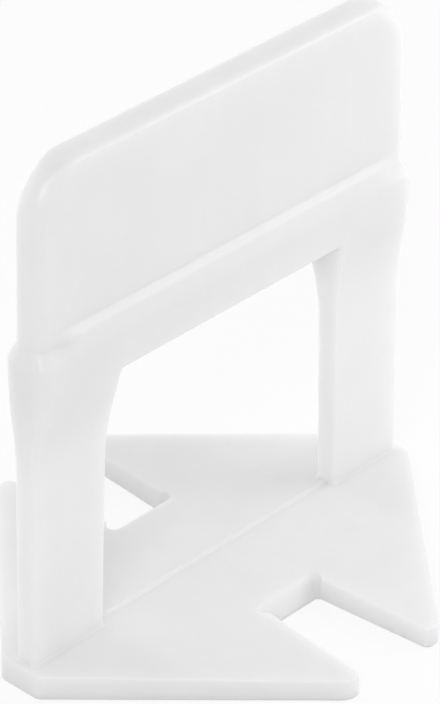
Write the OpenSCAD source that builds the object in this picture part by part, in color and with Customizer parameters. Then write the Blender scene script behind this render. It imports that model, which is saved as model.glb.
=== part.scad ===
// Tile levelling clip: one moulded polypropylene piece with a butterfly-shaped base plate,
// two thin legs that stand in the tile joint, and a head over the window that takes the wedge.
// X runs along the tile joint, Y across it and Z up, in millimetres.
// The origin is the middle of the underside of the base plate.

/* [Base plate] */
// Span of the plate across the joint, from wing tip to wing tip
base_span = 41.8; // [36:0.1:52]
// How far the plate stands out past the outer face of each leg
end_margin = 0.7; // [0.6:0.1:3]
// Length of the short straight end beside each leg
end_len = 4.2; // [3.5:0.1:8]
// Width of the blunt end of each wing tip
tip_w = 1.5; // [1:0.1:4]
// Thickness of the plate at its wing tips
tip_t = 2; // [1:0.1:2.2]
// Thickness of the plate along its crest, between the legs
crest_t = 2.4; // [2.3:0.1:3.5]
// Plan rounding where a short end meets a wing
end_round = 1; // [0.3:0.1:2]
// Plan rounding of each wing tip's outer corner
tip_round = 1.5; // [0.2:0.1:2]
// Plan rounding of each wing tip's corner beside the slot
lip_round = 0.7; // [0.2:0.1:1]
// Width of the low rounded sill along the crest, from leg to leg
sill_w = 0.6; // [0.4:0.1:1]
// Height of that sill above the crest
sill_h = 0.15; // [0.1:0.05:0.2]

/* [Slots] */
// Depth of each slot, from the wing tips to its root
slot_depth = 11.6; // [8:0.1:13]
// Width of each slot at its root
slot_root_w = 6.5; // [4:0.1:8]
// Width of each slot at its mouth
slot_mouth_w = 8.4; // [6.2:0.1:11]
// Plan rounding in the two corners of each slot's root
slot_round = 0.4; // [0.1:0.1:1]
// How far the bevel at the slot's root runs into the plate
slot_bevel_run = 1.1; // [0.5:0.1:2]
// Height of the upright land under that bevel
slot_land = 0.5; // [0.4:0.1:1.6]

/* [Legs and window] */
// Width of the window that takes the wedge, at its foot
window_w = 29; // [20:0.1:36]
// Height of the window, from the plate's crest to the crossbar
window_h = 25.4; // [18:0.1:36]
// Rounding of the window's upper corners
window_round = 0.5; // [0.2:0.1:2]
// Width of each leg
leg_w = 8.3; // [5:0.1:12]
// Thickness of each leg, which sets the width of the tile joint
leg_t = 2; // [1:0.1:3]
// Draft of the legs' outer faces and the head's ends, which lean in towards the top, in degrees
side_draft = 0.7; // [0:0.1:2]
// Draft of the window's sides, which lean in towards the top, in degrees
window_draft = 1.5; // [0:0.1:2]
// How much further the window's sides lean in above the foot of the flare
window_lean = 0.5; // [0:0.1:1]

/* [Crossbar] */
// Thickness of the crossbar
bar_t = 4.7; // [4.5:0.1:8]
// Height of the crossbar, from the window to the shoulder
bar_h = 4; // [3:0.1:8]
// How far the legs' flare reaches down below the window's top
flare_drop = 8; // [4:0.1:10]
// How far the flare reaches up into the crossbar
flare_lead = 2.6; // [1:0.1:2.9]

/* [Head] */
// Height of the sloped shoulder between the crossbar and the head
shoulder_h = 2.2; // [1.5:0.1:4]
// Height of the steeper bevel along the shoulder's top
bevel_h = 0.7; // [0.3:0.1:1]
// Thickness at the foot of that bevel
bevel_t = 4.2; // [4:0.1:4.4]
// How far each end of the head stands back from the outer face of its leg
head_inset = 0.3; // [0:0.1:1.5]
// Height of the head above the shoulder
head_h = 14.7; // [10:0.1:24]
// Thickness of the head at the shoulder
head_root_t = 3.2; // [3:0.1:3.9]
// Thickness of the head at its top
head_t = 3; // [2:0.1:3]
// Rounding of the head's two upper corners
head_round = 4.8; // [2:0.1:8]

/* [Hidden] */

$fn = 96;

// Depth by which pieces of one moulding run into each other, and cuts run past a face
lap = 1;
// Steps in each rounded corner of the plate
corner_steps = 8;

upright_w = window_w + 2 * leg_w;
base_len = upright_w + 2 * end_margin;
head_w = upright_w - 2 * head_inset;
slot_root_y = base_span / 2 - slot_depth;

window_top = crest_t + window_h;
flare_low = window_top - flare_drop;
flare_high = window_top + flare_lead;
bar_top = window_top + bar_h;
shoulder_top = bar_top + shoulder_h;
clip_h = shoulder_top + head_h;

// The flare is two equal arcs that meet halfway, each tangent to a flat face.
flare_out = (bar_t - leg_t) / 2;
flare_mid = (flare_low + flare_high) / 2;
flare_r = (pow(flare_high - flare_low, 2) + pow(flare_out, 2)) / (4 * flare_out);

// Draft of the window's sides above the foot of the flare
upper_draft = atan(tan(window_draft) + window_lean / flare_drop);

// The sill is the top of a round bar that lies mostly inside the plate.
sill_r = (pow(sill_w / 2, 2) + pow(sill_h, 2)) / (2 * sill_h);

// Half the width, at height z, of a face that is foot_w wide at the foot and leans in at both ends
function drafted(foot_w, z, draft = side_draft) = foot_w / 2 - z * tan(draft);

function unit(v) = v / norm(v);

// Arc that rounds the corner at q, between the neighbours p and s, to radius r
function rounded_corner(p, q, s, r) =
    let (to_p = unit(p - q))
    let (to_s = unit(s - q))
    let (half = acos(to_p * to_s) / 2)
    let (start = q + to_p * r / tan(half))
    let (finish = q + to_s * r / tan(half))
    let (centre = q + unit(to_p + to_s) * r / sin(half))
    [for (i = [0:corner_steps])
        let (chord = start + (finish - start) * i / corner_steps)
        centre + r * unit(chord - centre)];

// Closed outline whose corners are all rounded, from points [x, y, radius]
function rounded_outline(points) =
    let (n = len(points))
    let (xy = [for (p = points) [p[0], p[1]]])
    [for (i = [0:n - 1])
        each rounded_corner(xy[(i + n - 1) % n], xy[i], xy[(i + 1) % n], points[i][2])];

// One quarter of the plate's outline, from the short end round to the slot's root
function quarter_outline() = [
    [base_len / 2, end_len / 2, end_round],
    [slot_mouth_w / 2 + tip_w, base_span / 2, min(tip_round, tip_w)],
    [slot_mouth_w / 2, base_span / 2, min(lip_round, tip_w / 2)],
    [slot_root_w / 2, slot_root_y, slot_round]
];

function reversed(list) = [for (i = [len(list) - 1:-1:0]) list[i]];

function flipped(list, sx, sy) = [for (p = list) [sx * p[0], sy * p[1], p[2]]];

function plate_outline() =
    let (quarter = quarter_outline())
    concat(
        quarter,
        reversed(flipped(quarter, -1, 1)),
        flipped(quarter, -1, -1),
        reversed(flipped(quarter, 1, -1))
    );

// Draws a shape given in X and Z as a slab that is centred on Y
module across_joint(depth) {
    rotate([90, 0, 0])
        linear_extrude(depth, center = true)
            children();
}

// Draws a shape given in Y and Z as a bar that is centred on X
module along_joint(length) {
    rotate([90, 0, 90])
        linear_extrude(length, center = true)
            children();
}

// Roof of the plate: thickest at the crest, thinner towards the wing tips
module plate_roof() {
    reach = base_span / 2;
    along_joint(base_len + 2 * lap)
        polygon([[-reach, 0], [-reach, tip_t], [0, crest_t], [reach, tip_t], [reach, 0]]);
}

// Cut that bevels the top edge of a slot's root, across the slot's width
module slot_bevel() {
    along_joint(slot_root_w)
        polygon([
            [slot_root_y - slot_bevel_run, crest_t],
            [slot_root_y, slot_land],
            [slot_root_y + slot_round, slot_land],
            [slot_root_y + slot_round, crest_t]
        ]);
}

// Low rounded sill along the plate's crest, which ends inside the two legs
module sill() {
    translate([0, 0, crest_t + sill_h - sill_r])
        rotate([0, 90, 0])
            cylinder(r = sill_r, h = window_w + 2 * lap, center = true);
}

// Butterfly-shaped plate: four wings, with a slot between the wings of each side
module base_plate() {
    difference() {
        intersection() {
            linear_extrude(crest_t)
                polygon(rounded_outline(plate_outline()));
            plate_roof();
        }
        for (turn = [0, 180])
            rotate([0, 0, turn])
                slot_bevel();
    }
}

// Panel that leans in at both ends, with its upper corners rounded to radius r
module drafted_panel(foot_w, low, high, r, draft) {
    centre_x = drafted(foot_w, high - r, draft) - r / cos(draft);
    touch_x = centre_x + r * cos(draft);
    touch_z = high - r + r * sin(draft);
    polygon([
        [-drafted(foot_w, low, draft), low],
        [drafted(foot_w, low, draft), low],
        [touch_x, touch_z],
        [centre_x, high],
        [-centre_x, high],
        [-touch_x, touch_z]
    ]);
    for (side = [-1, 1])
        translate([side * centre_x, high - r])
            circle(r);
}

// Window between the legs: its sides lean in a little, and further along the flare
module window() {
    foot_x = drafted(window_w, -lap, window_draft);
    low_x = drafted(window_w, flare_low, window_draft);
    polygon([[-foot_x, -lap], [foot_x, -lap], [low_x, flare_low], [-low_x, flare_low]]);
    upper_w = 2 * (low_x + flare_low * tan(upper_draft));
    drafted_panel(upper_w, flare_low, window_top, window_round, upper_draft);
}

// Face of the upright: legs, shoulders and head, less the window between the legs
module upright_face() {
    difference() {
        union() {
            polygon([
                [-drafted(upright_w, 0), 0],
                [drafted(upright_w, 0), 0],
                [drafted(upright_w, bar_top), bar_top],
                [drafted(head_w, shoulder_top), shoulder_top],
                [-drafted(head_w, shoulder_top), shoulder_top],
                [-drafted(upright_w, bar_top), bar_top]
            ]);
            drafted_panel(head_w, bar_top, clip_h, head_round, side_draft);
        }
        window();
    }
}

// Flare on one side, from the leg's face out to the crossbar's face
module flare_section() {
    difference() {
        translate([0, flare_low])
            square([leg_t / 2 + flare_out / 2, flare_mid - flare_low]);
        translate([leg_t / 2 + flare_r, flare_low])
            circle(flare_r);
    }
    intersection() {
        translate([0, flare_mid])
            square([bar_t / 2, flare_high - flare_mid]);
        translate([bar_t / 2 - flare_r, flare_high])
            circle(flare_r);
    }
}

// Section of the upright, which sets its thickness at each height
module upright_section() {
    translate([-leg_t / 2, 0])
        square([leg_t, bar_top]);
    for (side = [0, 1])
        mirror([side, 0])
            flare_section();
    polygon([
        [-bar_t / 2, flare_high],
        [bar_t / 2, flare_high],
        [bar_t / 2, bar_top],
        [bevel_t / 2, shoulder_top - bevel_h],
        [head_root_t / 2, shoulder_top],
        [head_t / 2, clip_h],
        [-head_t / 2, clip_h],
        [-head_root_t / 2, shoulder_top],
        [-bevel_t / 2, shoulder_top - bevel_h],
        [-bar_t / 2, bar_top]
    ]);
}

module upright() {
    intersection() {
        across_joint(bar_t + 2 * lap)
            upright_face();
        along_joint(upright_w + 2 * lap)
            upright_section();
    }
}

module levelling_clip() {
    color("whitesmoke") {
        base_plate();
        sill();
        upright();
    }
}

levelling_clip();
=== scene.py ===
"""Tile levelling clip: one white moulding with rounded edges, on a pale studio floor."""

import math
from typing import NamedTuple

import bmesh
import bpy
import numpy as np
from bpy.props import FloatProperty, FloatVectorProperty, IntProperty, PointerProperty
from mathutils import Matrix, Vector


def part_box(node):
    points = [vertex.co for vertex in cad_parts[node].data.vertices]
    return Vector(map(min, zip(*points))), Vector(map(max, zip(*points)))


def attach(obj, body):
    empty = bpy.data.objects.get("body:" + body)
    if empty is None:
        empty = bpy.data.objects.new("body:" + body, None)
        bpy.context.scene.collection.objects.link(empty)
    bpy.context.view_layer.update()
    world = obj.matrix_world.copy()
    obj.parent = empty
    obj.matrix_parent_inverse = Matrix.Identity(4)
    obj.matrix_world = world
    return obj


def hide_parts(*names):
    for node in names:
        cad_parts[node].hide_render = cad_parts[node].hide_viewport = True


bl_info = {
    "name": "Tile Levelling Clip",
    "version": (1, 0, 0),
    "blender": (4, 5, 0),
    "location": "View3D > Sidebar > Levelling Clip",
    "description": "Builds a moulded tile levelling clip and a plain studio around it",
    "category": "Add Mesh",
}

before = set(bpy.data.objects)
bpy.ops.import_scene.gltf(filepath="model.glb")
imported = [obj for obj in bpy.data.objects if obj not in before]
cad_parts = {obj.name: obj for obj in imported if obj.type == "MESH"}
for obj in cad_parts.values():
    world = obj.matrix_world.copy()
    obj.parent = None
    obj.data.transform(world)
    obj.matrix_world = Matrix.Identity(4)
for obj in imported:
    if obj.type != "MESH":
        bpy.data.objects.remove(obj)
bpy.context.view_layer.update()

MM = 0.001
CLIP_NODE = "levelling_clip"
CLIP_BODY = "root"
CLIP_LOW, CLIP_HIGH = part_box(CLIP_NODE)

# Picture in pixels, sensor in millimetres, and the camera's nearest and farthest view in metres
IMAGE_W = 440
IMAGE_H = 704
SENSOR_W = 36
VIEW_NEAR = 0.01
VIEW_FAR = 100

# Right and left
SIDES = (1, -1)
# Points nearer than this are one point
WELD = MM / 10000
# Least distance between two levels of the upright's mesh
LEVEL_GAP = MM / 50

# Range that most values of a noise lie in, and how many layers of detail the noises have
NOISE_LOW = 0.3
NOISE_HIGH = 0.7
CLOUD_DETAIL = 3
FINE_DETAIL = 2

WHITE = (1, 1, 1, 1)
# Light of all three colours spreads equally far under the surface
EVEN_SPREAD = (1, 1, 1)


def length(name, description, metres):
    """Property for a length."""
    return FloatProperty(
        name=name,
        description=description,
        default=metres,
        min=0,
        precision=5,
        unit="LENGTH",
    )


def angle(name, description, degrees):
    """Property for an angle."""
    return FloatProperty(
        name=name,
        description=description,
        default=math.radians(degrees),
        subtype="ANGLE",
    )


def factor(name, description, share):
    """Property for a share from 0 to 1."""
    return FloatProperty(
        name=name,
        description=description,
        default=share,
        subtype="FACTOR",
        min=0,
        max=1,
    )


def grey(name, description, value):
    """Property for a colour that starts out neutral."""
    return FloatVectorProperty(
        name=name,
        description=description,
        default=(value, value, value),
        size=3,
        subtype="COLOR",
    )


def step_count(name, description, count):
    """Property for a number of steps."""
    return IntProperty(name=name, description=description, default=count, min=2)


class ClipPlate(bpy.types.PropertyGroup):
    """Sizes of the base plate, its slots and its sill."""

    plate_len: length("Length", "Length of the plate along the joint", CLIP_HIGH[0] - CLIP_LOW[0])
    plate_span: length("Span", "Span from wing tip to wing tip", CLIP_HIGH[1] - CLIP_LOW[1])
    end_len: length("End Length", "Length of the short straight end beside each leg", 4.2 * MM)
    tip_w: length("Tip Width", "Width of the blunt end of each wing tip", 1.5 * MM)
    tip_t: length("Tip Thickness", "Thickness of the plate at its wing tips", 2 * MM)
    crest_t: length("Crest Thickness", "Thickness of the plate along its crest", 2.4 * MM)
    end_round: length("End Corner", "Plan rounding where a short end meets a wing", 1 * MM)
    tip_round: length("Tip Corner", "Plan rounding of each wing tip's outer corner", 1.5 * MM)
    lip_round: length("Lip Corner", "Plan rounding of each tip's corner beside the slot", 0.7 * MM)
    slot_depth: length("Slot Depth", "Depth of each slot from the wing tips", 11.6 * MM)
    slot_root_w: length("Slot Root Width", "Width of each slot at its root", 6.5 * MM)
    slot_mouth_w: length("Slot Mouth Width", "Width of each slot at its mouth", 8.4 * MM)
    slot_round: length("Slot Corner", "Plan rounding in the corners of a slot's root", 0.4 * MM)
    slot_bevel: length("Slot Bevel", "How far the bevel at a slot's root runs in", 1.1 * MM)
    slot_land: length("Slot Land", "Height of the upright land under that bevel", 0.5 * MM)
    sill_w: length("Sill Width", "Width of the low sill along the crest", 0.6 * MM)
    sill_h: length("Sill Height", "Height of the sill above the crest", 0.15 * MM)
    rim_edge: length("Rim Edge", "Edge rounding along the top of the plate", 0.15 * MM)
    slot_edge: length("Slot Edge", "Edge rounding along the top of a slot's root", 0.6 * MM)
    under_edge: length("Underside Edge", "Edge rounding along the underside", 0.2 * MM)

    @property
    def slot_root_y(self):
        return self.plate_span / 2 - self.slot_depth

    def roof(self, y):
        """Height of the plate's top, thickest at the crest."""
        fall = (self.crest_t - self.tip_t) / (self.plate_span / 2)
        return self.crest_t - fall * abs(y)


class ClipUpright(bpy.types.PropertyGroup):
    """Sizes of the legs, the window, the crossbar and the head."""

    clip_h: length("Height", "Height of the whole clip", CLIP_HIGH[2] - CLIP_LOW[2])
    window_w: length("Window Width", "Width of the window at its foot", 29 * MM)
    window_top: length("Window Top", "Height of the window's top edge", 27.8 * MM)
    window_round: length("Window Corner", "Rounding of the window's upper corners", 0.5 * MM)
    leg_w: length("Leg Width", "Width of each leg at its foot", 8.3 * MM)
    leg_t: length("Leg Thickness", "Thickness of each leg", 2 * MM)
    side_draft: angle("Side Draft", "Lean of the legs' outer faces and the head's ends", 0.7)
    window_draft: angle("Window Draft", "Lean of the window's sides", 1.5)
    window_lean: length("Window Lean", "How much further they lean in along the flare", 0.5 * MM)
    lean_round: length("Lean Round", "Rounding where that further lean starts", 20 * MM)
    bar_t: length("Crossbar Thickness", "Thickness of the crossbar", 4.7 * MM)
    bar_h: length("Crossbar Height", "Height from the window to the shoulder", 4 * MM)
    flare_drop: length("Flare Drop", "How far the flare reaches below the window's top", 8 * MM)
    flare_lead: length("Flare Lead", "How far the flare reaches into the crossbar", 2.6 * MM)
    shoulder_h: length("Shoulder Height", "Height of the sloped shoulder", 2.2 * MM)
    bevel_h: length("Bevel Height", "Height of the steeper bevel on the shoulder", 0.7 * MM)
    bevel_t: length("Bevel Thickness", "Thickness at the foot of that bevel", 4.2 * MM)
    head_inset: length("Head Inset", "How far the head's ends stand back from the legs", 0.3 * MM)
    head_root_t: length("Head Root Thickness", "Thickness of the head at the shoulder", 3.2 * MM)
    head_t: length("Head Thickness", "Thickness of the head at its top", 3 * MM)
    head_round: length("Head Corner", "Rounding of the head's upper corners", 4.8 * MM)
    leg_edge: length("Leg Edge", "Edge rounding of the legs and the window", 0.35 * MM)
    end_edge: length("End Edge", "Edge rounding of the head's and the crossbar's ends", 1.2 * MM)
    corner_edge: length("Corner Edge", "Edge rounding of the head's upper corners", 1.4 * MM)
    top_edge: length("Top Edge", "Edge rounding along the head's top", 0.45 * MM)
    bar_edge: length("Crossbar Edge", "Rounding along the shoulder's two outer edges", 0.8 * MM)
    root_edge: length("Root Edge", "Rounding where the shoulder meets the head", 0.5 * MM)
    end_drop: length("End Drop", "How far the shoulder's foot dips at the two ends", 0.4 * MM)
    end_rise: length("End Rise", "Height of the shoulder at the two ends", 0.9 * MM)
    end_hold: length("End Hold", "Distance from an end to where its step changes", 1.2 * MM)
    end_fade: length("End Fade", "Distance from an end to the full shoulder", 4 * MM)
    foot_edge: length("Foot Edge", "Fillet where the legs meet the plate", 0.4 * MM)
    foot_sink: length("Foot Sink", "How far that fillet runs into the plate", 0.04 * MM)
    foot_z: length("Foot Depth", "Height at which the legs end inside the plate", 1 * MM)

    @property
    def bar_top(self):
        return self.window_top + self.bar_h

    @property
    def shoulder_top(self):
        return self.bar_top + self.shoulder_h

    @property
    def flare_low(self):
        return self.window_top - self.flare_drop

    @property
    def flare_high(self):
        return self.window_top + self.flare_lead

    def leg_side(self, z):
        """Half the distance between the legs' outer faces."""
        return self.window_w / 2 + self.leg_w - z * math.tan(self.side_draft)

    def head_side(self, z):
        """Half the length of the head."""
        return self.leg_side(z) - self.head_inset

    def window_side(self, z):
        """Half the width of the window."""
        lean = max(z - self.flare_low, 0) / self.flare_drop * self.window_lean
        return self.window_w / 2 - z * math.tan(self.window_draft) - lean


class ClipFinish(bpy.types.PropertyGroup):
    """Finish of the white plastic."""

    colour: grey("Colour", "Colour of the plastic", 0.83)
    shade: grey("Shade", "Colour of the plastic's darker clouds and flow streaks", 0.80)
    cloud_floor: factor("Cloud Floor", "Share of the lighter colour in the darkest clouds", 0.3)
    streak_floor: factor("Streak Floor", "Share of the lighter colour in the darkest streaks", 0.5)
    gloss: factor("Gloss", "Roughness where the surface is smoothest", 0.28)
    matt: factor("Matt", "Roughness where the surface is dullest", 0.36)
    depth: factor("Depth", "Share of light that spreads under the surface", 0.9)
    depth_reach: length("Depth Reach", "How far light spreads under the surface", 2.5 * MM)
    cloud_size: length("Cloud Size", "Size of the soft clouds in the colour", 6 * MM)
    streak_w: length("Streak Width", "Width of the upright flow streaks", 2.5 * MM)
    streak_len: length("Streak Length", "Length of the upright flow streaks", 30 * MM)
    wave_h: length("Wave Height", "Height of the soft waves in the faces", 0.02 * MM)
    grain_size: length("Grain Size", "Size of the fine moulding grain", 0.25 * MM)
    grain_h: length("Grain Height", "Height of the fine moulding grain", 0.002 * MM)
    refraction: FloatProperty(
        name="Refraction",
        description="Index of refraction of the plastic",
        default=1.49,
        min=1,
    )
    crease: angle("Crease", "Fold past which an edge is shaded sharp", 72)
    edge_steps: step_count("Edge Steps", "Steps around a rounded edge", 5)
    corner_steps: step_count("Corner Steps", "Steps around a rounded corner of an outline", 10)


class ClipStudio(bpy.types.PropertyGroup):
    """Camera, floor and light."""

    azimuth: angle("Azimuth", "Angle of the camera to the left of the clip's front", 47.276)
    elevation: angle("Elevation", "Angle of the camera above the floor", 32.274)
    roll: angle("Roll", "Turn of the camera about its own line of sight", 0.622)
    distance: length("Distance", "Distance from the camera to its target", 338.42 * MM)
    target: FloatVectorProperty(
        name="Target",
        description="Point that the camera and the lamps look at",
        default=(0.595 * MM, -0.015 * MM, 22.198 * MM),
        size=3,
        subtype="TRANSLATION",
    )
    focal_px: FloatProperty(
        name="Focal Length",
        description="Focal length in pixels of the image",
        default=4041.26,
    )
    floor_size: length("Floor Size", "Side of the square floor", 6)
    floor_colour: grey("Floor Colour", "Colour of the floor, as it lights the clip", 0.96)
    floor_matt: factor("Floor Matt", "Roughness of the floor", 0.9)
    floor_white: factor("Floor White", "Share of plain white in the floor as it is seen", 0.82)
    ambient: FloatProperty(
        name="Ambient",
        description="Strength of the even light from all around",
        default=0.56,
        min=0,
    )


class StudioLamp(NamedTuple):
    """Soft box: direction in degrees, side and distance in metres, and its light on the clip.

    The plastic's gloss mirrors it only where in_gloss is set.
    """

    name: str
    azimuth: float
    elevation: float
    size: float
    light: float
    reach: float = 0.5
    in_gloss: bool = False


LAMPS = (
    StudioLamp("rear", azimuth=-176, elevation=12, size=0.3, light=1.2),
    StudioLamp("right", azimuth=76, elevation=14, size=0.3, light=0.6),
    StudioLamp("near_right", azimuth=62, elevation=26, size=0.08, light=0.56, reach=0.12),
    StudioLamp("shoulder_line", azimuth=43, elevation=23, size=0.22, light=0.28, in_gloss=True),
    StudioLamp("corner_key", azimuth=-58, elevation=37, size=0.18, light=0.72, in_gloss=True),
)


class MeshSketch:
    """Points and faces of a closed mesh while it is drawn."""

    def __init__(self):
        self.points = []
        self.faces = []

    def row(self, points):
        """Adds a row of points and returns their numbers."""
        first = len(self.points)
        self.points += points
        return list(range(first, len(self.points)))

    def bridge(self, row, other):
        """Joins two rows of equal length by quads."""
        for i in range(len(row) - 1):
            self.faces.append((row[i], row[i + 1], other[i + 1], other[i]))

    def to_mesh(self, name):
        """Mesh with its doubles merged and its faces pointing outwards."""
        mesh = bpy.data.meshes.new(name)
        mesh.from_pydata(self.points, [], self.faces)
        bm = bmesh.new()
        bm.from_mesh(mesh)
        bmesh.ops.remove_doubles(bm, verts=bm.verts, dist=WELD)
        bmesh.ops.recalc_face_normals(bm, faces=bm.faces)
        bm.to_mesh(mesh)
        bm.free()
        return mesh


def rounded_corner(before, corner, after, radius, steps):
    """Points of the arc that rounds one corner of a path."""
    to_before = (before - corner).normalized()
    to_after = (after - corner).normalized()
    half = to_before.angle(to_after) / 2
    centre = corner + (to_before + to_after).normalized() * radius / math.sin(half)
    start = (corner + to_before * radius / math.tan(half) - centre).normalized()
    finish = (corner + to_after * radius / math.tan(half) - centre).normalized()
    return [centre + start.slerp(finish, i / steps) * radius for i in range(steps + 1)]


def rounded_path(corners, steps):
    """Path through corners given as (x, y, radius). A corner with radius 0 stays as it is."""
    points = [Vector(corner[:2]) for corner in corners]
    path = []
    for i, corner in enumerate(corners):
        radius = corner[2]
        if radius == 0:
            path.append(points[i])
        else:
            after = points[(i + 1) % len(points)]
            path += rounded_corner(points[i - 1], points[i], after, radius, steps)
    return path


def rising(path):
    """Path without the points that don't stand above the last one."""
    kept = path[:1]
    for point in path[1:]:
        if point.y > kept[-1].y + WELD:
            kept.append(point)
    return kept


def offset_at(path, z):
    """Offset of a rising path at height z."""
    return float(np.interp(z, [p.y for p in path], [p.x for p in path]))


def blend(a, b, share):
    """Smooth step from a to b."""
    share = min(max(share, 0), 1)
    return a + (b - a) * share * share * (3 - 2 * share)


def foot_corners(upright, plate, side, out):
    """Start of a path that comes up out of the plate with a fillet. Out is 1 or -1."""
    foot = upright.foot_edge
    top = plate.crest_t - upright.foot_sink
    return [
        (side + out * foot, upright.foot_z, 0),
        (side + out * foot, top, 0),
        (side, top, foot),
    ]


def section_path(upright, plate, shoulder, steps):
    """Half thickness of the upright against its height, with the given shoulder corners."""
    leg = upright.leg_t / 2
    bar = upright.bar_t / 2
    # Two equal arcs, one hollow and one round, make the flare
    rise = upright.flare_high - upright.flare_low
    flare_r = (rise**2 + (bar - leg) ** 2) / (4 * (bar - leg))
    reach = flare_r * math.tan(math.asin(rise / 2 / flare_r) / 2)
    corners = foot_corners(upright, plate, leg, 1) + [
        (leg, upright.flare_low + reach, flare_r),
        (bar, upright.flare_high - reach, flare_r),
        *shoulder,
        (upright.head_t / 2, upright.clip_h, 0),
    ]
    return rising(rounded_path(corners, steps))


def middle_shoulder(upright):
    """Corners of the shoulder along the head: a slope, then a steeper bevel."""
    return [
        (upright.bar_t / 2, upright.bar_top, upright.bar_edge),
        (upright.bevel_t / 2, upright.shoulder_top - upright.bevel_h, upright.bar_edge),
        (upright.head_root_t / 2, upright.shoulder_top, upright.root_edge),
    ]


def end_shoulder(upright):
    """Corners of the shoulder at the head's ends: one short step."""
    return [
        (upright.bar_t / 2, upright.bar_top - upright.end_drop, upright.bar_edge),
        (upright.head_root_t / 2, upright.bar_top + upright.end_rise, upright.root_edge),
    ]


def outer_path(upright, plate, steps):
    """Half width of the upright against its height, as if the head had square corners."""
    foot_side = upright.leg_side(plate.crest_t)
    low = upright.bar_top - upright.end_drop
    high = upright.bar_top + upright.end_rise
    corners = foot_corners(upright, plate, foot_side, 1) + [
        (upright.leg_side(low), low, upright.bar_edge),
        (upright.head_side(high), high, upright.root_edge),
        (upright.head_side(upright.clip_h), upright.clip_h, 0),
    ]
    return rising(rounded_path(corners, steps))


def head_corner(upright, steps):
    """Arc of the head's upper right corner, from its end to its top."""
    root = Vector((upright.head_side(upright.shoulder_top), upright.shoulder_top))
    corner = Vector((upright.head_side(upright.clip_h), upright.clip_h))
    top_middle = Vector((0, upright.clip_h))
    return rounded_corner(root, corner, top_middle, upright.head_round, steps)


def window_corner(upright, steps):
    """Arc of the window's upper right corner, from its side to its top."""
    lean_foot = Vector((upright.window_side(upright.flare_low), upright.flare_low))
    corner = Vector((upright.window_side(upright.window_top), upright.window_top))
    top_middle = Vector((0, upright.window_top))
    return rounded_corner(lean_foot, corner, top_middle, upright.window_round, steps)


def inner_path(upright, plate, corner_start, steps):
    """Half width of the window against its height, up to where its corner starts."""
    foot_side = upright.window_side(plate.crest_t)
    corners = foot_corners(upright, plate, foot_side, -1) + [
        (upright.window_side(upright.flare_low), upright.flare_low, upright.lean_round),
        (*corner_start, 0),
    ]
    return rising(rounded_path(corners, steps))


def spaced(heights, gap):
    """Heights in order, without those closer than the gap to the one below."""
    kept = []
    for z in sorted(heights):
        if not kept or z > kept[-1] + gap:
            kept.append(z)
    return kept


class EdgeRib(NamedTuple):
    """Place on a rounded edge, as seen from the front: its point, its way in and its radius."""

    point: Vector
    inward: Vector
    radius: float


def corner_radius(upright, share):
    """Edge rounding round the head's upper corner, from its end at 0 to its top at 1."""
    if share < 0.5:
        return blend(upright.end_edge, upright.corner_edge, 2 * share)
    return blend(upright.corner_edge, upright.top_edge, 2 * share - 1)


def outer_ribs(upright, outer, levels, head_arc):
    """Ribs of the outer edge on the right, up the leg and round the head's corner."""
    ribs = []
    for z in levels:
        share = (z - upright.flare_low) / (upright.flare_high - upright.flare_low)
        radius = blend(upright.leg_edge, upright.end_edge, share)
        ribs.append(EdgeRib(Vector((offset_at(outer, z), z)), Vector((-1, 0)), radius))
    centre = Vector((head_arc[-1].x, upright.clip_h - upright.head_round))
    for i, point in enumerate(head_arc):
        radius = corner_radius(upright, i / (len(head_arc) - 1))
        ribs.append(EdgeRib(point, (centre - point).normalized(), radius))
    return ribs


def inner_ribs(upright, inner, levels, window_arc):
    """Ribs of the window's edge on the right, up its side and round its corner."""
    radius = upright.leg_edge
    ribs = [EdgeRib(Vector((offset_at(inner, z), z)), Vector((1, 0)), radius) for z in levels]
    centre = Vector((window_arc[-1].x, upright.window_top - upright.window_round))
    for point in window_arc:
        ribs.append(EdgeRib(point, (point - centre).normalized(), radius))
    return ribs


def edge_row(rib, columns, steps, depth_at):
    """Points over a rounded edge at a rib, from the rear face round to the front face."""
    radius = rib.radius
    turns = [math.pi / 2 * i / steps for i in range(steps + 1)]
    profile = [(radius * (1 - math.cos(turn)), radius * (1 - math.sin(turn))) for turn in turns]
    profile += [(radius + column, 0) for column in columns]
    front = []
    for inset, drop in profile:
        spot = rib.point + rib.inward * inset
        front.append((spot.x, drop - depth_at(inset, spot.y), spot.y))
    rear = [(x, -y, z) for x, y, z in reversed(front)]
    return rear + front


def draw_edges(sketch, edge):
    """Draws an edge's rows on the right and on the left, and joins the two last rows."""
    rows = {}
    for side in SIDES:
        rows[side] = [sketch.row([(side * x, y, z) for x, y, z in row]) for row in edge]
        for row, other in zip(rows[side], rows[side][1:]):
            sketch.bridge(row, other)
    sketch.bridge(*(rows[side][-1] for side in SIDES))
    return rows


def fill_face(sketch, outer, inner, tees, corner_k, tee_k):
    """Fills the front or the rear of the upright, given that face's points on each side."""
    for side in SIDES:
        sketch.bridge(outer[side][: corner_k + 1], inner[side][: corner_k + 1])
        around = outer[side][corner_k : tee_k + 1] + [tees[side]]
        sketch.faces.append(around + inner[side][corner_k:][::-1])
    right, left = (outer[side] for side in SIDES)
    over_window = [tees[side] for side in SIDES]
    window_ends = [inner[side][-1] for side in SIDES]
    sketch.faces.append(window_ends + over_window[::-1])
    sketch.faces.append(
        [right[tee_k], *over_window, left[tee_k], left[tee_k + 1], right[tee_k + 1]]
    )
    sketch.bridge(right[tee_k + 1 :], left[tee_k + 1 :])


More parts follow.
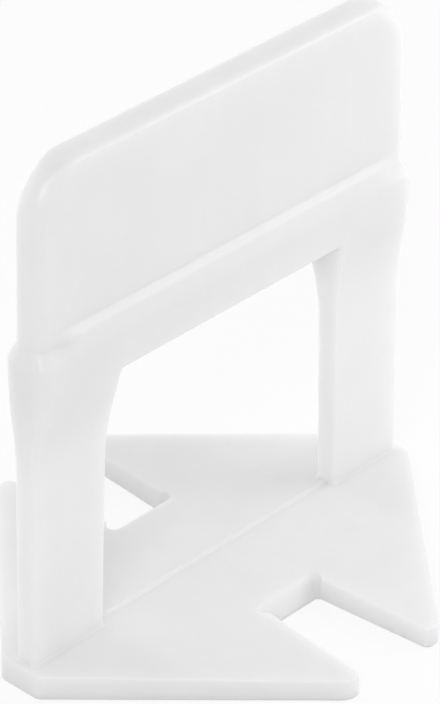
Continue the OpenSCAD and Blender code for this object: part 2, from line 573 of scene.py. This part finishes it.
def upright_mesh(upright, plate, finish):
    """Legs, crossbar and head as one closed mesh that ends inside the plate."""
    steps = finish.corner_steps
    middle = section_path(upright, plate, middle_shoulder(upright), steps)
    end = section_path(upright, plate, end_shoulder(upright), steps)
    outer = outer_path(upright, plate, steps)
    head_arc = head_corner(upright, steps)
    window_arc = window_corner(upright, steps)
    inner = inner_path(upright, plate, window_arc[0], steps)

    def middle_depth(inset, z):
        return offset_at(middle, z)

    def end_depth(inset, z):
        share = (inset - upright.end_hold) / (upright.end_fade - upright.end_hold)
        return blend(offset_at(end, z), offset_at(middle, z), share)

    # One level lies where the window's corner starts and the next one just above the window
    corner_z = window_arc[0].y
    tee_z = upright.window_top + 2 * upright.leg_edge
    heights = {p.y for p in middle + end + outer if p.y < head_arc[0].y - LEVEL_GAP}
    in_corner = {z for z in heights if corner_z - LEVEL_GAP < z < tee_z + LEVEL_GAP}
    levels = spaced((heights - in_corner) | {corner_z, tee_z}, LEVEL_GAP)
    corner_k = levels.index(corner_z)
    tee_k = levels.index(tee_z)

    edge_steps = finish.edge_steps
    columns = [upright.end_fade * i / edge_steps for i in range(1, edge_steps)]
    ribs = outer_ribs(upright, outer, levels, head_arc)
    outer_edge = [edge_row(rib, columns, edge_steps, end_depth) for rib in ribs]
    ribs = inner_ribs(upright, inner, levels[:corner_k], window_arc)
    inner_edge = [edge_row(rib, [], edge_steps, middle_depth) for rib in ribs]

    sketch = MeshSketch()
    outer_rows = draw_edges(sketch, outer_edge)
    inner_rows = draw_edges(sketch, inner_edge)
    tee_y = offset_at(middle, tee_z)
    tee_rows = {}
    for side in SIDES:
        x = side * window_arc[-1].x
        tee_rows[side] = sketch.row([(x, tee_y, tee_z), (x, -tee_y, tee_z)])
        sketch.faces.append(outer_rows[side][0] + inner_rows[side][0][::-1])
    # A row starts on the rear face and ends on the front face
    for face in (0, -1):
        outer_line = {side: [row[face] for row in outer_rows[side]] for side in SIDES}
        inner_line = {side: [row[face] for row in inner_rows[side]] for side in SIDES}
        tees = {side: tee_rows[side][face] for side in SIDES}
        fill_face(sketch, outer_line, inner_line, tees, corner_k, tee_k)
    return sketch.to_mesh("upright")


def plate_outline(plate, steps):
    """Plan of the plate, anticlockwise from the middle of its right end."""
    quarter = [
        (plate.plate_len / 2, 0, 0),
        (plate.plate_len / 2, plate.end_len / 2, plate.end_round),
        (plate.slot_mouth_w / 2 + plate.tip_w, plate.plate_span / 2, plate.tip_round),
        (plate.slot_mouth_w / 2, plate.plate_span / 2, plate.lip_round),
        (plate.slot_root_w / 2, plate.slot_root_y, plate.slot_round),
    ]
    rear = quarter + [(-x, y, radius) for x, y, radius in reversed(quarter)]
    front = [(-x, -y, radius) for x, y, radius in rear[1:-1]]
    return rounded_path(rear + front, steps)


def slot_share(point, plate):
    """How much of a slot's root bevel a point of the outline has, from 0 to 1."""
    if abs(point.x) > plate.slot_root_w / 2 + plate.slot_round:
        return 0
    return blend(1, 0, (abs(point.y) - plate.slot_root_y) / plate.slot_round)


def plate_rib(point, inward, plate, steps):
    """Row of points up the plate's wall, from the underside to the top face."""
    share = slot_share(point, plate)
    top = plate.roof(point.y)
    edge = plate.rim_edge + share * (plate.slot_edge - plate.rim_edge)
    inside = Vector((plate.slot_bevel + plate.slot_edge, 0))
    foot = Vector((0, 0))
    land = Vector((0, plate.slot_land))
    brow = Vector((share * plate.slot_bevel, top))
    profile = rounded_corner(inside, foot, land, plate.under_edge, steps)
    profile.append(land)
    profile += rounded_corner(land, brow, brow + inside, edge, steps)
    row = []
    for inset, z in profile:
        spot = point + inward * inset
        # Above the land, points follow the slope of the plate's top
        slope = plate.roof(spot.y) - top if z > plate.slot_land else 0
        row.append((spot.x, spot.y, z + slope))
    return row


def plate_mesh(plate, finish):
    """Butterfly-shaped plate as one closed mesh."""
    outline = plate_outline(plate, finish.corner_steps)
    sketch = MeshSketch()
    rows = []
    for i, point in enumerate(outline):
        run = (outline[(i + 1) % len(outline)] - outline[i - 1]).normalized()
        inward = Vector((-run.y, run.x))
        rows.append(sketch.row(plate_rib(point, inward, plate, finish.edge_steps)))
    for i, row in enumerate(rows):
        sketch.bridge(rows[i - 1], row)
    # The top folds along the crest, so it is two faces
    half = len(rows) // 2
    top = [row[-1] for row in rows]
    sketch.faces.append(top[: half + 1])
    sketch.faces.append(top[half:] + top[:1])
    sketch.faces.append([row[0] for row in rows])
    return sketch.to_mesh("plate")


def sill_mesh(plate, upright, finish):
    """Round bar whose top is the sill, with both ends inside the legs."""
    radius = ((plate.sill_w / 2) ** 2 + plate.sill_h**2) / (2 * plate.sill_h)
    axis_z = plate.crest_t + plate.sill_h - radius
    half_len = upright.window_w / 2 + upright.leg_t / 2
    count = 4 * finish.corner_steps
    turns = [2 * math.pi * i / count for i in range(count + 1)]
    sketch = MeshSketch()
    ends = []
    for x in (-half_len, half_len):
        circle = [(x, radius * math.cos(t), axis_z + radius * math.sin(t)) for t in turns]
        ends.append(sketch.row(circle))
        sketch.faces.append(ends[-1][:-1])
    sketch.bridge(*ends)
    return sketch.to_mesh("sill")


def union_mesh(context, name, meshes):
    """Mesh of several closed meshes run together."""
    solids = [bpy.data.objects.new(mesh.name, mesh) for mesh in meshes]
    for solid in solids:
        context.collection.objects.link(solid)
    body = solids[0]
    for solid in solids[1:]:
        joint = body.modifiers.new(solid.name, "BOOLEAN")
        joint.operation = "UNION"
        joint.solver = "EXACT"
        joint.object = solid
    depsgraph = context.evaluated_depsgraph_get()
    merged = bpy.data.meshes.new_from_object(body.evaluated_get(depsgraph))
    merged.name = name
    for solid in solids:
        bpy.data.objects.remove(solid)
    for mesh in meshes:
        bpy.data.meshes.remove(mesh)
    return merged


def shade_edges(mesh, crease):
    """Smooth shading, with a sharp line where two faces fold by more than the crease angle."""
    bm = bmesh.new()
    bm.from_mesh(mesh)
    for face in bm.faces:
        face.smooth = True
    for edge in bm.edges:
        edge.smooth = edge.calc_face_angle(0) < crease
    bm.to_mesh(mesh)
    bm.free()


def noise_field(tree, coords, scale, detail):
    """Noise on the clip's own coordinates, with one scale for each axis."""
    mapping = tree.nodes.new("ShaderNodeMapping")
    mapping.inputs["Scale"].default_value = scale
    tree.links.new(coords, mapping.inputs["Vector"])
    noise = tree.nodes.new("ShaderNodeTexNoise")
    noise.inputs["Scale"].default_value = 1
    noise.inputs["Detail"].default_value = detail
    tree.links.new(mapping.outputs["Vector"], noise.inputs["Vector"])
    return noise.outputs["Fac"]


def spread(tree, field, low, high):
    """Middle part of a noise field, spread over the range from low to high."""
    ramp = tree.nodes.new("ShaderNodeMapRange")
    ramp.inputs["From Min"].default_value = NOISE_LOW
    ramp.inputs["From Max"].default_value = NOISE_HIGH
    ramp.inputs["To Min"].default_value = low
    ramp.inputs["To Max"].default_value = high
    tree.links.new(field, ramp.inputs["Value"])
    return ramp.outputs["Result"]


def bumped(tree, field, height, normal=None):
    """Normal of a surface that a noise field raises by the given height."""
    bump = tree.nodes.new("ShaderNodeBump")
    bump.inputs["Strength"].default_value = 1
    bump.inputs["Distance"].default_value = height
    tree.links.new(field, bump.inputs["Height"])
    if normal:
        tree.links.new(normal, bump.inputs["Normal"])
    return bump.outputs["Normal"]


def white_plastic(finish):
    """White moulded polypropylene: satin, a little cloudy and slightly translucent."""
    material = bpy.data.materials.new("white_polypropylene_moulded")
    material.use_nodes = True
    tree = material.node_tree
    links = tree.links
    coords = tree.nodes.new("ShaderNodeTexCoord").outputs["Object"]
    across = 1 / finish.streak_w
    along = 1 / finish.streak_len
    clouds = noise_field(tree, coords, [1 / finish.cloud_size] * 3, CLOUD_DETAIL)
    streaks = noise_field(tree, coords, (across, across, along), FINE_DETAIL)
    grain = noise_field(tree, coords, [1 / finish.grain_size] * 3, FINE_DETAIL)

    mottle = tree.nodes.new("ShaderNodeMath")
    mottle.operation = "MULTIPLY"
    links.new(spread(tree, clouds, finish.cloud_floor, 1), mottle.inputs[0])
    links.new(spread(tree, streaks, finish.streak_floor, 1), mottle.inputs[1])
    colour = tree.nodes.new("ShaderNodeMix")
    colour.data_type = "RGBA"
    colour.inputs["A"].default_value = (*finish.shade, 1)
    colour.inputs["B"].default_value = (*finish.colour, 1)
    links.new(mottle.outputs["Value"], colour.inputs["Factor"])

    shader = tree.nodes["Principled BSDF"]
    links.new(colour.outputs["Result"], shader.inputs["Base Color"])
    links.new(spread(tree, streaks, finish.gloss, finish.matt), shader.inputs["Roughness"])
    waves = bumped(tree, clouds, finish.wave_h)
    links.new(bumped(tree, grain, finish.grain_h, waves), shader.inputs["Normal"])
    shader.inputs["IOR"].default_value = finish.refraction
    shader.inputs["Subsurface Weight"].default_value = finish.depth
    shader.inputs["Subsurface Radius"].default_value = EVEN_SPREAD
    shader.inputs["Subsurface Scale"].default_value = finish.depth_reach
    return material


class CLIP_OT_moulding(bpy.types.Operator):
    """Build the moulded clip with rounded edges"""

    bl_idname = "clip.moulding"
    bl_label = "Moulded Clip"

    def execute(self, context):
        plate = context.scene.clip_plate
        upright = context.scene.clip_upright
        finish = context.scene.clip_finish
        pieces = [
            plate_mesh(plate, finish),
            sill_mesh(plate, upright, finish),
            upright_mesh(upright, plate, finish),
        ]
        mesh = union_mesh(context, "clip_moulding", pieces)
        shade_edges(mesh, finish.crease)
        mesh.materials.append(white_plastic(finish))
        clip = bpy.data.objects.new("clip_moulding", mesh)
        context.collection.objects.link(clip)
        soft = clip.modifiers.new("soft_shading", "WEIGHTED_NORMAL")
        soft.keep_sharp = True
        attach(clip, CLIP_BODY)
        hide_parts(CLIP_NODE)
        return {"FINISHED"}


def studio_camera(studio):
    """Camera that looks down on the clip from its front left."""
    az, el, roll = studio.azimuth, studio.elevation, studio.roll
    back = Vector(
        (-math.sin(az) * math.cos(el), -math.cos(az) * math.cos(el), math.sin(el))
    )
    level = Vector((math.cos(az), -math.sin(az), 0))
    steep = back.cross(level)
    right = level * math.cos(roll) + steep * math.sin(roll)
    up = steep * math.cos(roll) - level * math.sin(roll)
    eye = Vector(studio.target) + back * studio.distance

    data = bpy.data.cameras.new("camera")
    data.sensor_width = SENSOR_W
    data.lens = studio.focal_px * SENSOR_W / max(IMAGE_W, IMAGE_H)
    data.clip_start = VIEW_NEAR
    data.clip_end = VIEW_FAR
    camera = bpy.data.objects.new("camera", data)
    turn = Matrix((right, up, back)).transposed().to_4x4()
    camera.matrix_world = Matrix.Translation(eye) @ turn
    return camera


def seen_directly(tree, share):
    """Share for rays that come from the camera, a gloss or a clear body, and 0 for the rest."""
    path = tree.nodes.new("ShaderNodeLightPath")
    total = path.outputs["Is Camera Ray"]
    for ray in ("Is Glossy Ray", "Is Transmission Ray"):
        either = tree.nodes.new("ShaderNodeMath")
        either.operation = "MAXIMUM"
        tree.links.new(total, either.inputs[0])
        tree.links.new(path.outputs[ray], either.inputs[1])
        total = either.outputs["Value"]
    part = tree.nodes.new("ShaderNodeMath")
    part.operation = "MULTIPLY"
    part.inputs[1].default_value = share
    tree.links.new(total, part.inputs[0])
    return part.outputs["Value"]


def studio_floor(studio):
    """White floor, which keeps a little of the clip's shadow."""
    half = studio.floor_size / 2
    corners = [(-half, -half, 0), (half, -half, 0), (half, half, 0), (-half, half, 0)]
    mesh = bpy.data.meshes.new("floor")
    mesh.from_pydata(corners, [], [(0, 1, 2, 3)])
    material = bpy.data.materials.new("white_floor")
    material.use_nodes = True
    tree = material.node_tree
    paint = tree.nodes["Principled BSDF"]
    paint.inputs["Base Color"].default_value = (*studio.floor_colour, 1)
    paint.inputs["Roughness"].default_value = studio.floor_matt
    white = tree.nodes.new("ShaderNodeEmission")
    mix = tree.nodes.new("ShaderNodeMixShader")
    tree.links.new(seen_directly(tree, studio.floor_white), mix.inputs["Fac"])
    tree.links.new(paint.outputs["BSDF"], mix.inputs[1])
    tree.links.new(white.outputs["Emission"], mix.inputs[2])
    tree.links.new(mix.outputs["Shader"], tree.nodes["Material Output"].inputs["Surface"])
    mesh.materials.append(material)
    return bpy.data.objects.new("floor", mesh)


def studio_world(studio):
    """Even white light from all around, in front of a white background."""
    world = bpy.data.worlds.new("studio")
    world.use_nodes = True
    tree = world.node_tree
    light = tree.nodes["Background"]
    light.inputs["Color"].default_value = WHITE
    light.inputs["Strength"].default_value = studio.ambient
    white = tree.nodes.new("ShaderNodeBackground")
    white.inputs["Color"].default_value = WHITE
    mix = tree.nodes.new("ShaderNodeMixShader")
    tree.links.new(seen_directly(tree, 1), mix.inputs["Fac"])
    tree.links.new(light.outputs["Background"], mix.inputs[1])
    tree.links.new(white.outputs["Background"], mix.inputs[2])
    tree.links.new(mix.outputs["Shader"], tree.nodes["World Output"].inputs["Surface"])
    return world


def studio_lamp(lamp, studio):
    """Soft box that faces the clip and gives it the lamp's light."""
    az, el = math.radians(lamp.azimuth), math.radians(lamp.elevation)
    way = Vector((math.sin(az) * math.cos(el), -math.cos(az) * math.cos(el), math.sin(el)))
    data = bpy.data.lights.new(lamp.name, "AREA")
    data.size = lamp.size
    data.energy = lamp.light * math.pi * lamp.reach**2
    box = bpy.data.objects.new(lamp.name, data)
    box.location = Vector(studio.target) + way * lamp.reach
    box.rotation_euler = way.to_track_quat("Z", "Y").to_euler()
    box.visible_glossy = lamp.in_gloss
    return box


class CLIP_OT_studio(bpy.types.Operator):
    """Set up the floor, the light and the camera"""

    bl_idname = "clip.studio"
    bl_label = "Studio"

    def execute(self, context):
        scene = context.scene
        studio = scene.clip_studio
        floor = studio_floor(studio)
        camera = studio_camera(studio)
        lamps = [studio_lamp(lamp, studio) for lamp in LAMPS]
        for item in (floor, camera, *lamps):
            context.collection.objects.link(item)
        scene.camera = camera
        scene.world = studio_world(studio)
        scene.view_settings.view_transform = "Standard"
        return {"FINISHED"}


class CLIP_PT_sidebar(bpy.types.Panel):
    """Sidebar list of the clip's settings and steps"""

    bl_idname = "CLIP_PT_sidebar"
    bl_label = "Levelling Clip"
    bl_space_type = "VIEW_3D"
    bl_region_type = "UI"
    bl_category = "Levelling Clip"

    def draw(self, context):
        for group in SETTINGS:
            settings = getattr(context.scene, group)
            box = self.layout.box()
            for name in settings.__annotations__:
                box.prop(settings, name)
        self.layout.operator(CLIP_OT_moulding.bl_idname)
        self.layout.operator(CLIP_OT_studio.bl_idname)


SETTINGS = {
    "clip_plate": ClipPlate,
    "clip_upright": ClipUpright,
    "clip_finish": ClipFinish,
    "clip_studio": ClipStudio,
}
CLASSES = (*SETTINGS.values(), CLIP_OT_moulding, CLIP_OT_studio, CLIP_PT_sidebar)


def register():
    for cls in CLASSES:
        bpy.utils.register_class(cls)
    for name, cls in SETTINGS.items():
        setattr(bpy.types.Scene, name, PointerProperty(type=cls))


def unregister():
    for name in SETTINGS:
        delattr(bpy.types.Scene, name)
    for cls in reversed(CLASSES):
        bpy.utils.unregister_class(cls)


def main():
    register()
    bpy.ops.clip.moulding()
    bpy.ops.clip.studio()


if __name__ == "__main__":
    main()
